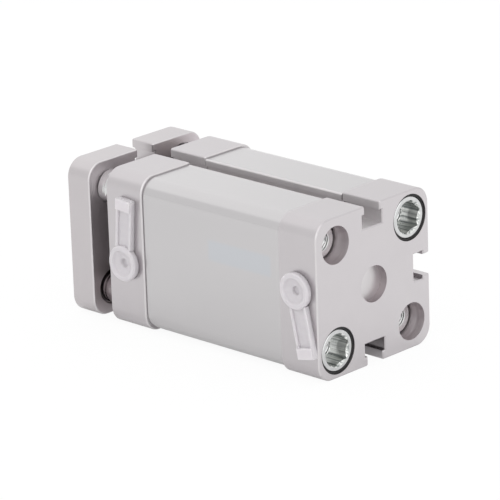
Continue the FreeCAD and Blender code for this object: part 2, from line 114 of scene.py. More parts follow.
# ---- materials ----------------------------------------------------------------------------------------------
def anodised_extrusion():
    """Clear-anodised drawn aluminium: satin, with faint die lines along the barrel and one plain pale field
    on the port side, where the oxide is a little bluer and duller."""
    material, tree = start_material("clear_anodised_extrusion")
    lines_at = stretched(tree, (25, 2600, 2600))           # die lines 0.4 mm apart, drawn out along X
    lines = add(tree, "ShaderNodeTexNoise", {"Scale": 1.0, "Detail": 3.0}, {"Vector": lines_at.outputs[0]})
    cloud_at = stretched(tree, (30, 90, 90))
    cloud = add(tree, "ShaderNodeTexNoise", {"Scale": 1.0, "Detail": 2.0}, {"Vector": cloud_at.outputs[0]})
    coords = add(tree, "ShaderNodeTexCoord")
    place = add(tree, "ShaderNodeSeparateXYZ", links={0: coords.outputs["Object"]})
    soft_edge = 0.0007
    inside = None                                          # 1 within the pale field, 0 round it
    for axis, middle, half in (("X", -0.0252, 0.0105), ("Z", 0.0062, 0.0029), ("Y", -0.0193, 0.0008)):
        near = add(tree, "ShaderNodeMath", {1: middle}, {0: place.outputs[axis]}, operation="SUBTRACT")
        far = add(tree, "ShaderNodeMath", links={0: near.outputs[0]}, operation="ABSOLUTE")
        band = add(tree, "ShaderNodeMapRange", {"From Min": half, "From Max": half - soft_edge,
                                                "To Min": 0.0, "To Max": 1.0}, {"Value": far.outputs[0]})
        if inside is None:
            inside = band
        else:
            inside = add(tree, "ShaderNodeMath", links={0: inside.outputs[0], 1: band.outputs[0]},
                         operation="MULTIPLY")
    metal = add(tree, "ShaderNodeMix", {6: hexed("#c4c2c3"), 7: hexed("#c1bfc0")},
                {"Factor": cloud.outputs["Fac"]}, data_type="RGBA")
    colour = add(tree, "ShaderNodeMix", {7: hexed("#c0c2c6")},
                 {"Factor": inside.outputs[0], 6: metal.outputs[2]}, data_type="RGBA")
    rough = add(tree, "ShaderNodeMapRange", {"From Min": 0.3, "From Max": 0.7, "To Min": 0.2, "To Max": 0.24},
                {"Value": lines.outputs["Fac"]})
    dull = add(tree, "ShaderNodeMath", {1: 0.03}, {0: inside.outputs[0]}, operation="MULTIPLY")
    total = add(tree, "ShaderNodeMath", links={0: rough.outputs[0], 1: dull.outputs[0]})
    bump = add(tree, "ShaderNodeBump", {"Strength": 0.025, "Distance": 0.00002},
               {"Height": lines.outputs["Fac"]})
    finish_material(tree, {"Metallic": 1.0},
                    {"Base Color": colour.outputs[2], "Roughness": total.outputs[0],
                     "Normal": bump.outputs[0]})
    return material


def blasted_aluminium(name, light, dark, rough_low, rough_high):
    """Blasted and anodised aluminium: an even, fine sandy grain that spreads the light."""
    material, tree = start_material(name)
    grain_at = stretched(tree, (3500, 3500, 3500))         # grit of about 0.3 mm
    grain = add(tree, "ShaderNodeTexNoise", {"Scale": 1.0, "Detail": 4.0}, {"Vector": grain_at.outputs[0]})
    cloud_at = stretched(tree, (140, 140, 140))
    cloud = add(tree, "ShaderNodeTexNoise", {"Scale": 1.0, "Detail": 2.0}, {"Vector": cloud_at.outputs[0]})
    colour = add(tree, "ShaderNodeMix", {6: hexed(light), 7: hexed(dark)}, {"Factor": cloud.outputs["Fac"]},
                 data_type="RGBA")
    rough = add(tree, "ShaderNodeMapRange", {"From Min": 0.3, "From Max": 0.7, "To Min": rough_low,
                                             "To Max": rough_high}, {"Value": grain.outputs["Fac"]})
    bump = add(tree, "ShaderNodeBump", {"Strength": 0.06, "Distance": 0.00003},
               {"Height": grain.outputs["Fac"]})
    finish_material(tree, {"Metallic": 1.0},
                    {"Base Color": colour.outputs[2], "Roughness": rough.outputs[0], "Normal": bump.outputs[0]})
    return material


def zinc_plated_steel():
    """Bright zinc plate on turned steel: bluish white, with lathe rings round each corner's axis."""
    ring_pitch = 0.00045                                   # lathe rings, drawn coarser
    material, tree = start_material("zinc_plated_steel")
    coords = add(tree, "ShaderNodeTexCoord")
    place = add(tree, "ShaderNodeSeparateXYZ", links={0: coords.outputs["Object"]})
    legs = []
    for axis in ("Y", "Z"):
        size = add(tree, "ShaderNodeMath", links={0: place.outputs[axis]}, operation="ABSOLUTE")
        leg = add(tree, "ShaderNodeMath", {1: HALF_PITCH * MM}, {0: size.outputs[0]}, operation="SUBTRACT")
        legs.append(leg)
    flat = add(tree, "ShaderNodeCombineXYZ", links={"X": legs[0].outputs[0], "Y": legs[1].outputs[0]})
    radius = add(tree, "ShaderNodeVectorMath", links={0: flat.outputs[0]}, operation="LENGTH")
    along = add(tree, "ShaderNodeMath", {1: 0.6}, {0: place.outputs["X"]}, operation="MULTIPLY")
    reach = add(tree, "ShaderNodeMath", links={0: radius.outputs["Value"], 1: along.outputs[0]})
    turns = add(tree, "ShaderNodeMath", {1: 2 * math.pi / ring_pitch}, {0: reach.outputs[0]},
                operation="MULTIPLY")
    rings = add(tree, "ShaderNodeMath", links={0: turns.outputs[0]}, operation="SINE")
    blotch_at = stretched(tree, (700, 700, 700))
    blotch = add(tree, "ShaderNodeTexNoise", {"Scale": 1.0, "Detail": 3.0}, {"Vector": blotch_at.outputs[0]})
    colour = add(tree, "ShaderNodeMix", {6: hexed("#dddddc"), 7: hexed("#bdbfc0")},
                 {"Factor": blotch.outputs["Fac"]}, data_type="RGBA")
    rough = add(tree, "ShaderNodeMapRange", {"From Min": 0.3, "From Max": 0.7, "To Min": 0.1, "To Max": 0.18},
                {"Value": blotch.outputs["Fac"]})
    bump = add(tree, "ShaderNodeBump", {"Strength": 0.18, "Distance": 0.00004}, {"Height": rings.outputs[0]})
    finish_material(tree, {"Metallic": 1.0},
                    {"Base Color": colour.outputs[2], "Roughness": rough.outputs[0], "Normal": bump.outputs[0]})
    return material


def burnished_aluminium_painted_highlight():
    """Edges where the blasted skin is rubbed off: paler and smoother than the faces beside them. Their paleness is
    partly this rubbing and partly a painted highlight along the edges.
    """
    material, tree = start_material("rubbed_edges_painted_highlight")
    rub_at = stretched(tree, (900, 900, 900))
    rub = add(tree, "ShaderNodeTexNoise", {"Scale": 1.0, "Detail": 2.0}, {"Vector": rub_at.outputs[0]})
    colour = add(tree, "ShaderNodeMix", {6: hexed("#d6d3d4"), 7: hexed("#cbc8c9")},
                 {"Factor": rub.outputs["Fac"]}, data_type="RGBA")
    rough = add(tree, "ShaderNodeMapRange", {"To Min": 0.4, "To Max": 0.5}, {"Value": rub.outputs["Fac"]})
    finish_material(tree, {"Metallic": 1.0}, {"Base Color": colour.outputs[2], "Roughness": rough.outputs[0]})
    return material


def bored_aluminium_painted_light():
    """Walls bored after anodising, with fine turning marks round the hole. Their pale, warm grey is painted light
    and a painted warm reflection in the holes.
    """
    material, tree = start_material("bored_aluminium_painted_light")
    marks_at = stretched(tree, (1300, 60, 60))             # tool marks, drawn coarser, 0.8 mm apart
    marks = add(tree, "ShaderNodeTexNoise", {"Scale": 1.0, "Detail": 2.0}, {"Vector": marks_at.outputs[0]})
    colour = add(tree, "ShaderNodeMix", {6: hexed("#efe9eb"), 7: hexed("#c4b9bc")},
                 {"Factor": marks.outputs["Fac"]}, data_type="RGBA")
    rough = add(tree, "ShaderNodeMapRange", {"To Min": 0.45, "To Max": 0.6}, {"Value": marks.outputs["Fac"]})
    bump = add(tree, "ShaderNodeBump", {"Strength": 0.5, "Distance": 0.0001}, {"Height": marks.outputs["Fac"]})
    finish_material(tree, {"Metallic": 1.0},
                    {"Base Color": colour.outputs[2], "Roughness": rough.outputs[0], "Normal": bump.outputs[0]})
    return material


def broached_zinc_painted_streaks():
    """Zinc plate over a broached hexagon: long scratches along the tool's way, coloured in near-white and dark
    grey stripes that are painted highlights and painted shade.
    """
    material, tree = start_material("zinc_broached_painted_streaks")
    marks_at = stretched(tree, (60, 1500, 1500))           # scratches, drawn coarser, 0.7 mm apart
    marks = add(tree, "ShaderNodeTexNoise", {"Scale": 1.0, "Detail": 3.0}, {"Vector": marks_at.outputs[0]})
    spread = add(tree, "ShaderNodeMapRange", {"From Min": 0.38, "From Max": 0.62},
                 {"Value": marks.outputs["Fac"]})
    colour = add(tree, "ShaderNodeMix", {6: hexed("#f7f8f5"), 7: hexed("#858a89")},
                 {"Factor": spread.outputs[0]}, data_type="RGBA")
    rough = add(tree, "ShaderNodeMapRange", {"To Min": 0.25, "To Max": 0.42}, {"Value": marks.outputs["Fac"]})
    bump = add(tree, "ShaderNodeBump", {"Strength": 0.6, "Distance": 0.00006}, {"Height": marks.outputs["Fac"]})
    finish_material(tree, {"Metallic": 1.0},
                    {"Base Color": colour.outputs[2], "Roughness": rough.outputs[0], "Normal": bump.outputs[0]})
    return material


def ground_rod_steel_painted_shade():
    """Hard-chromed, ground steel rod: mirror-like, with fine grinding marks round it. Its dark, warm grey is
    painted shade, for the rods that lie in the dark gap behind the plate.
    """
    material, tree = start_material("ground_chromed_steel_painted_shade")
    marks_at = stretched(tree, (4000, 60, 60))             # marks 0.25 mm apart along the rod
    marks = add(tree, "ShaderNodeTexNoise", {"Scale": 1.0, "Detail": 3.0}, {"Vector": marks_at.outputs[0]})
    colour = add(tree, "ShaderNodeMix", {6: hexed("#989192"), 7: hexed("#787173")},
                 {"Factor": marks.outputs["Fac"]}, data_type="RGBA")
    rough = add(tree, "ShaderNodeMapRange", {"From Min": 0.3, "From Max": 0.7, "To Min": 0.14, "To Max": 0.22},
                {"Value": marks.outputs["Fac"]})
    bump = add(tree, "ShaderNodeBump", {"Strength": 0.08, "Distance": 0.00002}, {"Height": marks.outputs["Fac"]})
    finish_material(tree, {"Metallic": 1.0},
                    {"Base Color": colour.outputs[2], "Roughness": rough.outputs[0], "Normal": bump.outputs[0]})
    return material


def nitrile_rubber():
    """Moulded nitrile rubber: near black, slightly dusty and finely pebbled."""
    material, tree = start_material("moulded_nitrile_rubber")
    pebble_at = stretched(tree, (2500, 2500, 2500))        # pebbles of 0.4 mm
    pebble = add(tree, "ShaderNodeTexNoise", {"Scale": 1.0, "Detail": 3.0}, {"Vector": pebble_at.outputs[0]})
    colour = add(tree, "ShaderNodeMix", {6: hexed("#0c0c0d"), 7: hexed("#1d1c1d")},
                 {"Factor": pebble.outputs["Fac"]}, data_type="RGBA")
    rough = add(tree, "ShaderNodeMapRange", {"To Min": 0.45, "To Max": 0.65}, {"Value": pebble.outputs["Fac"]})
    bump = add(tree, "ShaderNodeBump", {"Strength": 0.2, "Distance": 0.00004}, {"Height": pebble.outputs["Fac"]})
    finish_material(tree, {}, {"Base Color": colour.outputs[2], "Roughness": rough.outputs[0],
                               "Normal": bump.outputs[0]})
    return material


def sintered_bronze():
    """Sintered bronze bush: warm brown metal with open pores."""
    material, tree = start_material("sintered_bronze")
    pores_at = stretched(tree, (3000, 3000, 3000))         # pores of 0.3 mm
    pores = add(tree, "ShaderNodeTexVoronoi", {"Scale": 1.0}, {"Vector": pores_at.outputs[0]})
    colour = add(tree, "ShaderNodeMix", {6: hexed("#8a6a45"), 7: hexed("#b3915f")},
                 {"Factor": pores.outputs["Distance"]}, data_type="RGBA")
    rough = add(tree, "ShaderNodeMapRange", {"To Min": 0.5, "To Max": 0.34},
                {"Value": pores.outputs["Distance"]})
    bump = add(tree, "ShaderNodeBump", {"Strength": 0.2, "Distance": 0.00004},
               {"Height": pores.outputs["Distance"]})
    finish_material(tree, {"Metallic": 1.0},
                    {"Base Color": colour.outputs[2], "Roughness": rough.outputs[0], "Normal": bump.outputs[0]})
    return material


def bonded_ferrite():
    """Plastic-bonded ferrite magnet: dark warm grey with a fine speckle."""
    material, tree = start_material("bonded_ferrite")
    speck_at = stretched(tree, (3000, 3000, 3000))
    speck = add(tree, "ShaderNodeTexNoise", {"Scale": 1.0, "Detail": 4.0}, {"Vector": speck_at.outputs[0]})
    colour = add(tree, "ShaderNodeMix", {6: hexed("#2b2725"), 7: hexed("#4a4541")},
                 {"Factor": speck.outputs["Fac"]}, data_type="RGBA")
    rough = add(tree, "ShaderNodeMapRange", {"To Min": 0.5, "To Max": 0.7}, {"Value": speck.outputs["Fac"]})
    finish_material(tree, {}, {"Base Color": colour.outputs[2], "Roughness": rough.outputs[0]})
    return material


def moulded_polyethylene(name, light, dark, clear):
    """Natural polyethylene: milky, so that light spreads in its edges and the metal behind shows a little,
    with a waxy gloss and faint flow marks."""
    spread = 0.0015                                        # how far light travels in it
    material, tree = start_material(name)
    flow_at = stretched(tree, (300, 300, 900))
    flow = add(tree, "ShaderNodeTexNoise", {"Scale": 1.0, "Detail": 3.0}, {"Vector": flow_at.outputs[0]})
    colour = add(tree, "ShaderNodeMix", {6: hexed(light), 7: hexed(dark)},
                 {"Factor": flow.outputs["Fac"]}, data_type="RGBA")
    rough = add(tree, "ShaderNodeMapRange", {"To Min": 0.28, "To Max": 0.42}, {"Value": flow.outputs["Fac"]})
    bump = add(tree, "ShaderNodeBump", {"Strength": 0.1, "Distance": 0.00005}, {"Height": flow.outputs["Fac"]})
    finish_material(tree, {"Transmission Weight": clear, "IOR": 1.5, "Subsurface Weight": 0.6,
                           "Subsurface Radius": (1.0, 1.0, 1.0), "Subsurface Scale": spread},
                    {"Base Color": colour.outputs[2], "Roughness": rough.outputs[0], "Normal": bump.outputs[0]})
    return material


EXTRUSION = anodised_extrusion()
CAPS = blasted_aluminium("blasted_anodised_caps", "#c3bfc1", "#bfbbbd", 0.28, 0.32)
PLATE = blasted_aluminium("blasted_anodised_plate", "#c3bfc0", "#bfbabc", 0.3, 0.34)
# painted light: a lighter copy of the caps' finish, so that the rear end face looks brighter than the sides
END_FACE_LIT = blasted_aluminium("milled_end_face_painted_light", "#cdc9cb", "#c9c5c7", 0.28, 0.32)
# painted light: a lighter copy of the plate's finish for its back face, which lies in the dark gap before the
# front cap
MILLED_LIT = blasted_aluminium("milled_plate_face_painted_light", "#d8d1d4", "#ccc4c7", 0.5, 0.56)
# painted shade: a darker copy of the caps' finish on the centring recess's wall
RECESS_SHADED = blasted_aluminium("turned_recess_wall_painted_shade", "#b9b1b3", "#a79ea1", 0.4, 0.5)
# painted light: a lighter copy of the caps' finish for the centring recess's floor, against the shade in the
# recess
RECESS_FLOOR_LIT = blasted_aluminium("turned_recess_floor_painted_light", "#d6d3d4", "#d0cdce", 0.32, 0.4)
# painted light: a lighter, duller copy of the aluminium for the top slot's walls and floor, against the shade in
# the slot
SLOT = blasted_aluminium("duller_slot_walls_painted_light", "#dbd8d9", "#cecbcc", 0.5, 0.6)
PISTON = blasted_aluminium("turned_aluminium", "#bdbdbd", "#b0b0b0", 0.25, 0.35)
ZINC = zinc_plated_steel()
# partly real rubbed edges, partly a painted highlight along the edges
BURNISHED_AND_HIGHLIT = burnished_aluminium_painted_highlight()
# painted light: the corner holes' walls are painted pale and warm
BORED_LIT = bored_aluminium_painted_light()
# painted highlights and painted shade: near-white and dark grey stripes along the real broaching scratches
BROACHED_PAINTED_STREAKS = broached_zinc_painted_streaks()
# painted shade: a dark, warm grey far below chrome's own brightness
ROD = ground_rod_steel_painted_shade()
RUBBER = nitrile_rubber()
BRONZE = sintered_bronze()
FERRITE = bonded_ferrite()
PLUG = moulded_polyethylene("moulded_natural_polyethylene", "#dcd8db", "#d3cfd3", 0.2)
THICK = moulded_polyethylene("thicker_natural_polyethylene", "#dedadd", "#d7d2d6", 0.15)


# ---- pieces ---------------------------------------------------------------------------------------------------
def on_bore(vertex, axis, centre, radius):
    """True for a vertex on the wall of a hole of this radius, in mm, along an axis (0 X, 1 Y)."""
    near = 0.03
    at = [c / MM for k, c in enumerate(vertex.co) if k != axis]
    return abs(math.hypot(at[0] - centre[0], at[1] - centre[1]) - radius) < near


def widened(axis, *centres):
    """Opens the core-size holes at these centres to let a thread stand in them."""
    wider = (ROOT + THREAD_ROOM) / CORE

    def adjust(shape):
        for centre in centres:
            for vertex in shape.verts:
                if on_bore(vertex, axis, centre, CORE):
                    middle = list(centre)
                    middle.insert(axis, vertex.co[axis] / MM)
                    middle = Vector(middle) * MM
                    vertex.co = middle + (vertex.co - middle) * wider
    return adjust


def let_down(shape):
    """Brings the underside of a plug, just off the metal, down to it."""
    lowest, highest, seat = -0.35, -0.25, -0.01            # Y from the port face
    for vertex in shape.verts:
        if lowest < vertex.co.y / MM - FACE < highest:
            vertex.co.y = (FACE + seat) * MM


ADJUST = {
    "rear_cap_screws": [widened(0, *SCREW_HOLES)],
    "rear_guide_screws": [widened(0, *GUIDE_HOLES)],
    "front_cap_screws": [widened(0, *SCREW_HOLES)],
    "yoke_plate": [widened(0, *SCREW_HOLES)],
    "rear_cap": [widened(1, PORTS["rear_port"])],
    "front_cap": [widened(1, PORTS["front_port"])],
    "rear_port_plug": [let_down],
    "front_port_plug": [let_down],
}


WELD = 1e-6                                      # metres: points nearer than this are one point
ONE_PLANE = math.radians(0.5)                    # faces that meet flatter than this are one face
BROKEN_OVER = math.radians(35)                   # edges sharper than this get the bevel
SMOOTH_UNDER = math.radians(32)                  # edges flatter than this shade smooth on unbevelled pieces


def refined(node, material, body, bevel):
    """A node's own shape in its finish, with its sharp edges broken by a small bevel, in mm."""
    mesh = frame["nodes"][node].data.copy()
    shape = bmesh.new()
    shape.from_mesh(mesh)
    bmesh.ops.remove_doubles(shape, verts=shape.verts, dist=WELD)
    for adjust in ADJUST.get(node, ()):
        adjust(shape)
    bmesh.ops.dissolve_limit(shape, angle_limit=ONE_PLANE, verts=shape.verts, edges=shape.edges)
    shape.to_mesh(mesh)
    shape.free()
    mesh.name = node + "_finished"
    piece = bpy.data.objects.new(node + "_finished", mesh)
    bpy.context.scene.collection.objects.link(piece)
    if bevel:
        mod = piece.modifiers.new("edge_break", "BEVEL")
        mod.width = bevel * MM
        mod.segments = 2
        mod.limit_method = "ANGLE"
        mod.angle_limit = BROKEN_OVER
        even = piece.modifiers.new("flat_faces_stay_flat", "WEIGHTED_NORMAL")
        even.weight = 100
        even.keep_sharp = True
        piece.data.shade_smooth()
        flat = bpy.data.meshes.new_from_object(piece.evaluated_get(bpy.context.evaluated_depsgraph_get()))
        piece.modifiers.clear()
        piece.data = flat
    piece.data.materials.clear()
    piece.data.materials.append(material)
    if not bevel:
        piece.data.shade_smooth()
        piece.data.set_sharp_from_angle(angle=SMOOTH_UNDER)
    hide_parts(node)
    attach(piece, body)
    return piece


FINE, USUAL, SOFT, WIDE = 0.08, 0.1, 0.12, 0.16            # edge breaks, in mm
FINISH = {                                                 # material, body, slot and edge break, 0 for none
    "barrel": (EXTRUSION, "housing", "anodised_extrusion", USUAL),
    "rear_cap": (CAPS, "housing", "blasted_caps", WIDE),
    "front_cap": (CAPS, "housing", "blasted_caps", USUAL),
    "rear_cap_oring": (RUBBER, "housing", "black_rubber", 0),
    "front_cap_oring": (RUBBER, "housing", "black_rubber", 0),
    "rear_cap_screws": (ZINC, "housing", "zinc_plate", FINE),
    "front_cap_screws": (ZINC, "housing", "zinc_plate", FINE),
    "rear_guide_screws": (ZINC, "housing", "zinc_plate", FINE),
    "rear_guide_seals": (RUBBER, "housing", "black_rubber", 0),
    "rod_bearing": (BRONZE, "housing", "bearing_bronze", 0),
    "rod_seal": (RUBBER, "housing", "black_rubber", 0),
    "guide_bush_upper": (BRONZE, "housing", "bearing_bronze", 0),
    "guide_bush_lower": (BRONZE, "housing", "bearing_bronze", 0),
    "piston": (PISTON, "rod_and_yoke", "piston_aluminium", 0),
    "piston_seal_rear": (RUBBER, "rod_and_yoke", "black_rubber", 0),
    "piston_seal_front": (RUBBER, "rod_and_yoke", "black_rubber", 0),
    "magnet_ring": (FERRITE, "rod_and_yoke", "ferrite_plastic", 0),
    "buffer_rear": (RUBBER, "rod_and_yoke", "black_rubber", 0),
    "buffer_front": (RUBBER, "rod_and_yoke", "black_rubber", 0),
    "piston_rod": (ROD, "rod_and_yoke", "hard_chrome", FINE),
    "piston_screw": (ZINC, "rod_and_yoke", "zinc_plate", 0),
    "guide_rod_upper": (ROD, "rod_and_yoke", "hard_chrome", 0),
    "guide_rod_lower": (ROD, "rod_and_yoke", "hard_chrome", 0),
    "yoke_plate": (PLATE, "rod_and_yoke", "plate_aluminium", USUAL),
    "yoke_centre_screw": (ZINC, "rod_and_yoke", "zinc_plate", FINE),
    "yoke_guide_screws": (ZINC, "rod_and_yoke", "zinc_plate", FINE),
    "rear_port_plug": (PLUG, "rear_plug", "plug_polyethylene", SOFT),
    "front_port_plug": (PLUG, "front_plug", "plug_polyethylene", SOFT),
}
PIECES = {}
for node, (material, body, slot, bevel) in FINISH.items():
    PIECES[node] = refined(node, material, body, bevel)


def refinish(node, material, chosen):
    """Gives the faces of a piece that chosen(centre in mm, normal) picks another finish."""
    mesh = PIECES[node].data
    mesh.materials.append(material)
    last = len(mesh.materials) - 1
    for face in mesh.polygons:
        if chosen(face.center / MM, face.normal):
            face.material_index = last


WALL = 0.2                   # a face whose normal's X is under this runs along the cylinder
EDGE = 0.25                  # from this up to SQUARE it is a broken edge that looks to the rear
SQUARE = 0.97                # above this it lies square to the axis and looks to the rear
COUNTERBORE = 4.8            # just over the radius of a corner counterbore
SOCKET = 4.3                 # just over the radius of a large screw's head
SOCKET_END = -5.0            # X of the bottom of its socket
CENTRING = 5.0               # just over the radius of the centring recess
CENTRING_FLOOR = 4.4         # just under it, for the floor
BELOW_FACE = -0.5            # X of what lies clearly below the rear face
SLOT_FLOOR, SLOT_TOP, SLOT_HALF = 10.0, 19.4, 4.2          # Z range and half width of the top slot
OUTLINE = 17.5               # what lies further out than this is on a cap's outline
PORT_EDGE = -19.0            # Y beyond which an edge borders the port face
PLATE_REACH = 5.0            # an edge of the plate that looks outwards from beyond this is on its outline
THICK_FROM = 1.8             # a plug's thick ends stand this far off the port face


def from_corner(centre):
    """Distance of a point from the nearest corner hole's axis."""
    return math.hypot(abs(centre.y) - HALF_PITCH, abs(centre.z) - HALF_PITCH)


def from_axis(centre):
    """Distance of a point from the cylinder's axis."""
    return math.hypot(centre.y, centre.z)


def plate_outline_edge(centre, normal):
    """True for the broken edge round the plate's back."""
    return EDGE < normal.x < SQUARE and centre.y * normal.y + centre.z * normal.z > PLATE_REACH


def cap_outline_edge(centre, normal):
    """True for the broken edge and the border of a cap that look to the rear."""
    return normal.x > EDGE and max(abs(centre.y), abs(centre.z)) > OUTLINE


def port_side_edge(centre, normal):
    """True for the broken edge between the rear face and the port face."""
    return EDGE < normal.x < SQUARE and normal.y < -0.3 and centre.y < PORT_EDGE


def in_top_slot(centre, normal):
    """True for the walls and floor of the top slot."""
    return SLOT_FLOOR < centre.z < SLOT_TOP and abs(centre.y) < SLOT_HALF and abs(normal.x) < WALL


def centring_floor(centre, normal):
    """True for the bottom of the centring recess."""
    return normal.x > SQUARE and from_axis(centre) < CENTRING_FLOOR and centre.x < BELOW_FACE


def thick_end(centre, normal):
    """True for the outer face of a plug's disc and of its tab's end."""
    return normal.y < -0.9 and centre.y < FACE - THICK_FROM


def in_socket(centre, normal):
    """True for the flats and the mouth of a large screw's socket."""
    return normal.x < 0.95 and from_corner(centre) < SOCKET and centre.x > SOCKET_END


# painted highlight along the plate's outline, partly real rubbing
refinish("yoke_plate", BURNISHED_AND_HIGHLIT, plate_outline_edge)
# painted highlight along the front cap's outline and its step to the barrel, partly real rubbing
refinish("front_cap", BURNISHED_AND_HIGHLIT, cap_outline_edge)
# painted light on the plate's back face in the gap
refinish("yoke_plate", MILLED_LIT, lambda centre, normal: normal.x > SQUARE)
# painted light in the top slot
for node in ("barrel", "rear_cap", "front_cap"):
    refinish(node, SLOT, in_top_slot)
# painted light on the rear end face
refinish("rear_cap", END_FACE_LIT, lambda centre, normal: normal.x > SQUARE)
# painted light on the walls of the rear corner holes
refinish("rear_cap", BORED_LIT, lambda centre, normal: abs(normal.x) < WALL and from_corner(centre) < COUNTERBORE)
# painted shade on the centring recess's wall
refinish("rear_cap", RECESS_SHADED, lambda centre, normal: abs(normal.x) < WALL and from_axis(centre) < CENTRING)
# painted light on the floor of the centring recess
refinish("rear_cap", RECESS_FLOOR_LIT, centring_floor)
# painted highlight along the edge between the rear face and the port face, partly real rubbing
refinish("rear_cap", BURNISHED_AND_HIGHLIT, port_side_edge)
for node in ("rear_port_plug", "front_port_plug"):
    refinish(node, THICK, thick_end)
# painted highlights and painted shade in the large screws' sockets
refinish("rear_guide_screws", BROACHED_PAINTED_STREAKS, in_socket)


# ---- threads ----------------------------------------------------------------------------------------------------
def thread_tree():
    """Geometry Nodes: a closed threaded ring, its bore cut by a helix, set on every vertex of the input."""
    tree = bpy.data.node_groups.new("internal_thread", "GeometryNodeTree")
    tree.interface.new_socket("Geometry", in_out="INPUT", socket_type="NodeSocketGeometry")
    for label in ("Length", "Pitch", "Core Radius", "Root Radius"):
        tree.interface.new_socket(label, in_out="INPUT", socket_type="NodeSocketFloat")
    tree.interface.new_socket("Turn", in_out="INPUT", socket_type="NodeSocketRotation")
    tree.interface.new_socket("Finish", in_out="INPUT", socket_type="NodeSocketMaterial")
    tree.interface.new_socket("Geometry", in_out="OUTPUT", socket_type="NodeSocketGeometry")
    given = add(tree, "NodeGroupInput").outputs
    around, per_turn = 32, 6.0                   # faces round the thread and along one turn
    crest_to, root_from = 0.08, 0.42             # the flat crest and root, in turns
    outer_wall = 0.00005                         # the ring's outside stands this far off the thread's root
    turns = add(tree, "ShaderNodeMath", links={0: given["Length"], 1: given["Pitch"]}, operation="DIVIDE")
    steps = add(tree, "ShaderNodeMath", {1: per_turn}, {0: turns.outputs[0]}, operation="MULTIPLY")
    count = add(tree, "ShaderNodeMath", links={0: steps.outputs[0]}, operation="ROUND")
    columns = add(tree, "ShaderNodeMath", {1: 4.0}, {0: count.outputs[0]})
    sheet = add(tree, "GeometryNodeMeshGrid", {"Size X": 1.0, "Size Y": 1.0, "Vertices Y": around + 1},
                {"Vertices X": columns.outputs[0]})
    spot = add(tree, "GeometryNodeInputPosition")
    place = add(tree, "ShaderNodeSeparateXYZ", links={0: spot.outputs[0]})
    # k runs 0..n down the threaded bore, then n+1 and n+2 back up the outer wall, then closes on 0
    half = add(tree, "ShaderNodeMath", {1: 0.5}, {0: place.outputs["X"]})
    spans = add(tree, "ShaderNodeMath", {1: 3.0}, {0: count.outputs[0]})
    index = add(tree, "ShaderNodeMath", links={0: half.outputs[0], 1: spans.outputs[0]}, operation="MULTIPLY")
    share = add(tree, "ShaderNodeMath", links={0: index.outputs[0], 1: count.outputs[0]}, operation="DIVIDE",
                use_clamp=True)
    back = add(tree, "ShaderNodeMath", {1: 1.5}, {0: count.outputs[0]})
    going = add(tree, "ShaderNodeMath", links={0: index.outputs[0], 1: back.outputs[0]}, operation="LESS_THAN")
    down = add(tree, "ShaderNodeMath", links={0: share.outputs[0], 1: going.outputs[0]}, operation="MULTIPLY")
    depth = add(tree, "ShaderNodeMath", links={0: down.outputs[0], 1: given["Length"]}, operation="MULTIPLY")
    # the helix: a flattened triangle wave of the bore radius
    angle = add(tree, "ShaderNodeMath", {1: 2 * math.pi}, {0: place.outputs["Y"]}, operation="MULTIPLY")
    advance = add(tree, "ShaderNodeMath", links={0: depth.outputs[0], 1: given["Pitch"]}, operation="DIVIDE")
    phase = add(tree, "ShaderNodeMath", links={0: advance.outputs[0], 1: place.outputs["Y"]},
                operation="SUBTRACT")
    wave = add(tree, "ShaderNodeMath", {1: 0.5}, {0: phase.outputs[0]}, operation="PINGPONG")
    cut = add(tree, "ShaderNodeMapRange", {"From Min": crest_to, "From Max": root_from},
              {"Value": wave.outputs[0], "To Min": given["Core Radius"], "To Max": given["Root Radius"]})
    first = add(tree, "ShaderNodeMath", {1: 0.5}, {0: count.outputs[0]})
    outer_from = add(tree, "ShaderNodeMath", links={0: index.outputs[0], 1: first.outputs[0]},
                     operation="GREATER_THAN")
    last = add(tree, "ShaderNodeMath", {1: 2.5}, {0: count.outputs[0]})
    outer_to = add(tree, "ShaderNodeMath", links={0: index.outputs[0], 1: last.outputs[0]},
                   operation="LESS_THAN")
    outer = add(tree, "ShaderNodeMath", links={0: outer_from.outputs[0], 1: outer_to.outputs[0]},
                operation="MULTIPLY")
    wall = add(tree, "ShaderNodeMath", {1: outer_wall}, {0: given["Root Radius"]})
    radius = add(tree, "ShaderNodeMix", links={0: outer.outputs[0], 2: cut.outputs[0], 3: wall.outputs[0]},
                 data_type="FLOAT")
    cosine = add(tree, "ShaderNodeMath", links={0: angle.outputs[0]}, operation="COSINE")
    sine = add(tree, "ShaderNodeMath", links={0: angle.outputs[0]}, operation="SINE")
    x = add(tree, "ShaderNodeMath", links={0: radius.outputs[0], 1: cosine.outputs[0]}, operation="MULTIPLY")
    y = add(tree, "ShaderNodeMath", links={0: radius.outputs[0], 1: sine.outputs[0]}, operation="MULTIPLY")
    target = add(tree, "ShaderNodeCombineXYZ", links={0: x.outputs[0], 1: y.outputs[0], 2: depth.outputs[0]})
    rolled = add(tree, "GeometryNodeSetPosition", links={"Geometry": sheet.outputs["Mesh"],
                                                         "Position": target.outputs[0]})
    closed = add(tree, "GeometryNodeMergeByDistance", {"Distance": WELD}, {"Geometry": rolled.outputs[0]})
    rings = add(tree, "GeometryNodeInstanceOnPoints", links={"Points": given["Geometry"],
                                                             "Instance": closed.outputs[0],
                                                             "Rotation": given["Turn"]})
    real = add(tree, "GeometryNodeRealizeInstances", links={"Geometry": rings.outputs[0]})
    done = add(tree, "GeometryNodeSetMaterial", links={"Geometry": real.outputs[0],
                                                       "Material": given["Finish"]})
    add(tree, "NodeGroupOutput", links={"Geometry": done.outputs[0]})
    return tree


THREAD = thread_tree()


